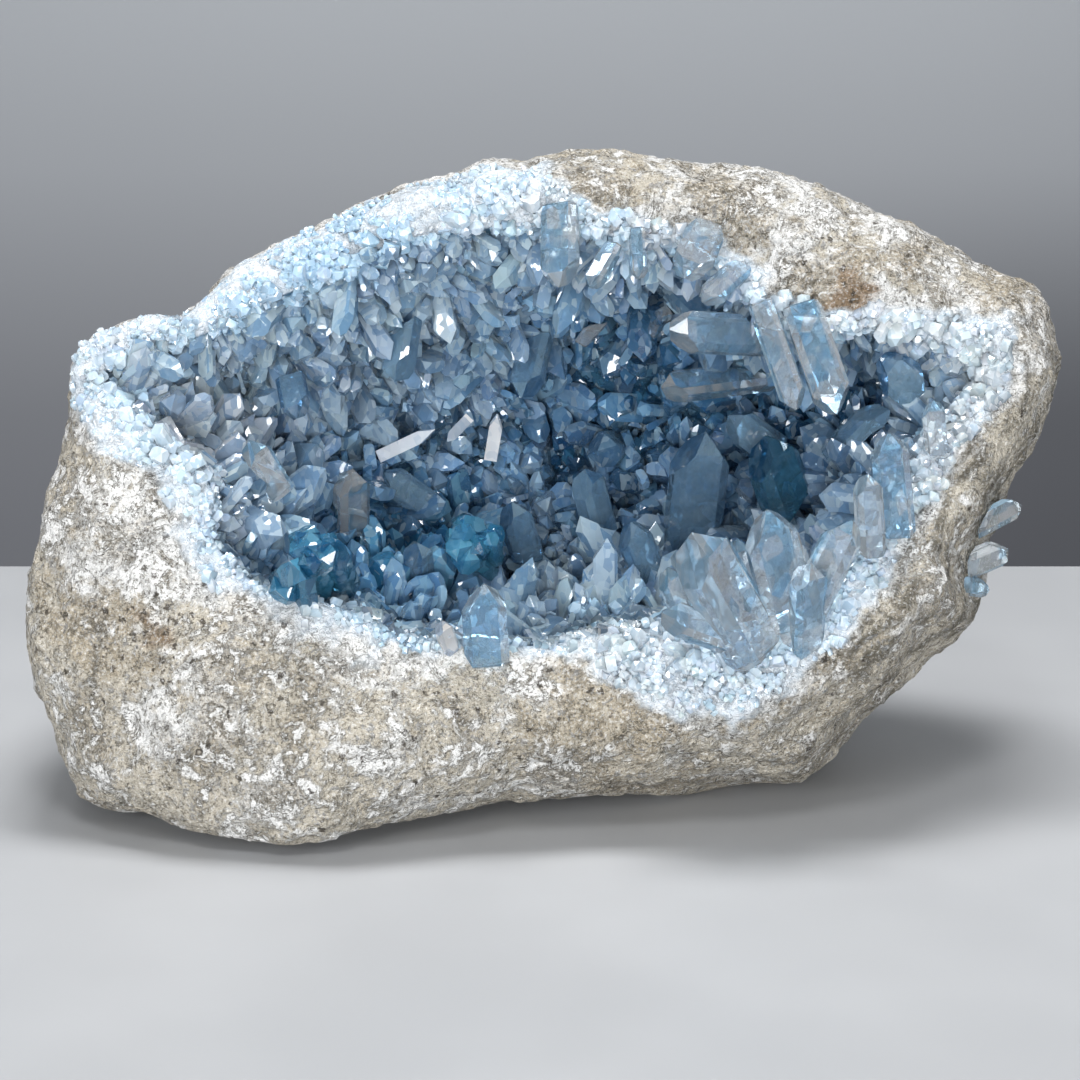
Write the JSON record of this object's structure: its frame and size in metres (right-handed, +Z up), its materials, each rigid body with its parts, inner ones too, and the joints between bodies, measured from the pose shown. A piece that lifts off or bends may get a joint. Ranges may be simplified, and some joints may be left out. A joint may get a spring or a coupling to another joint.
{
  "type": "celestite geode",
  "caption": "Open half nodule of pale limestone whose hollow is lined with blue and clear celestite crystals, standing on its own underside with the mouth forward.",
  "frame": {"origin": "centre of the bounding box's base, on the surface that the stone stands on", "axes": "+Z up, +X along the stone's length, with its mouth towards -Y"},
  "size_m": [0.2554, 0.1494, 0.1546],
  "materials": {
    "limestone": "rough, pitted rock skin",
    "celestite_crust": "crust of small grown-together crystals",
    "celestite_clear": "clear to milky crystal with smooth faces",
    "celestite_blue": "blue crystal with smooth faces",
    "celestite_smoky": "grey-blue crystal with smooth faces"
  },
  "bodies": {
    "root": {"blade_hanging_left": "celestite_clear", "blade_hanging_right": "celestite_clear", "blade_under_roof": "celestite_clear", "column_right_short": "celestite_clear", "column_right_small": "celestite_clear", "column_right_tall": "celestite_clear", "crystal_crust": "celestite_crust", "diamond_small": "celestite_clear", "flash_long": "celestite_clear", "flash_point": "celestite_clear", "flash_short": "celestite_clear", "group_blue_left": "celestite_blue", "group_blue_middle": "celestite_blue", "group_lower_right": "celestite_clear", "group_outer_right": "celestite_clear", "matrix_shell": "limestone", "needle_middle": "celestite_clear", "needle_top_left": "celestite_clear", "needle_top_right": "celestite_clear", "prism_clear_front": "celestite_clear", "prism_dark_blue": "celestite_blue", "prism_dark_left": "celestite_smoky", "prism_floor_left": "celestite_smoky", "prism_floor_middle": "celestite_smoky", "prism_floor_right": "celestite_smoky", "prism_icy_left": "celestite_clear", "prism_left_mouth": "celestite_clear", "prism_lower_inner": "celestite_clear", "prism_lower_left": "celestite_clear", "prism_lying_lower": "celestite_clear", "prism_lying_upper": "celestite_clear", "prism_mouth_top": "celestite_blue", "prism_outer_right": "celestite_clear", "prism_pink_front": "celestite_clear", "prism_pocket_floor": "celestite_smoky", "prism_pocket_roof": "celestite_smoky", "prism_slate_left": "celestite_smoky", "prism_standing_block": "celestite_smoky", "prism_top_blunt": "celestite_clear", "prism_wall_far_left": "celestite_smoky", "prism_wall_left": "celestite_smoky", "prism_wall_middle": "celestite_smoky", "tablet_grey_left": "celestite_smoky"}
  },
  "joints": []
}
